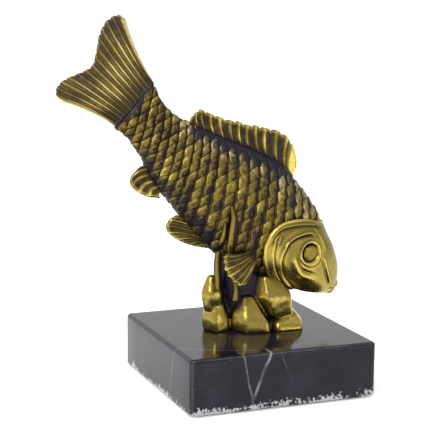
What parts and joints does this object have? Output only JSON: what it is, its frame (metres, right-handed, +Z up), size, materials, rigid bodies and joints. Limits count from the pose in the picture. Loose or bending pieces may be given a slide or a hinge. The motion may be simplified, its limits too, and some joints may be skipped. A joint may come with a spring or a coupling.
{
  "type": "fish figurine",
  "caption": "Cast brass carp diving head down onto a heap of rocks with water weed, fixed to a square black marble plinth with a felt pad underneath.",
  "frame": {"origin": "middle of the felt pad's underside, where the figurine stands on a table", "axes": "+Z up, +X towards the side that the fish's head points to, the fish's middle plane is Y = 0 and its pictured right flank faces -Y"},
  "size_m": [0.1526, 0.1, 0.1904],
  "materials": {
    "brass_body": "aged cast brass, dark patina in the recesses, polished high points",
    "brass_fins": "aged cast brass, dark patina between the rays",
    "brass_rocks": "polished cast brass with dark crevices",
    "steel": "plain bright zinc-plated steel",
    "marble": "polished black marble with thin white veins",
    "felt": "black pressed felt"
  },
  "bodies": {
    "root": {"fish_body": "brass_body", "tail_fin": "brass_fins", "dorsal_fin": "brass_fins", "anal_fin": "brass_fins", "pelvic_fin": "brass_fins", "pectoral_fin_right": "brass_fins", "pectoral_fin_left": "brass_fins", "eye_right": "brass_body", "eye_left": "brass_body", "weed_stem_rear": "brass_rocks", "weed_stem_front": "brass_rocks", "rock_base": "brass_rocks", "locating_pins": "steel", "fixing_stud": "steel", "fixing_washer": "steel", "fixing_nut": "steel", "marble_plinth": "marble", "felt_pad": "felt"}
  },
  "joints": []
}
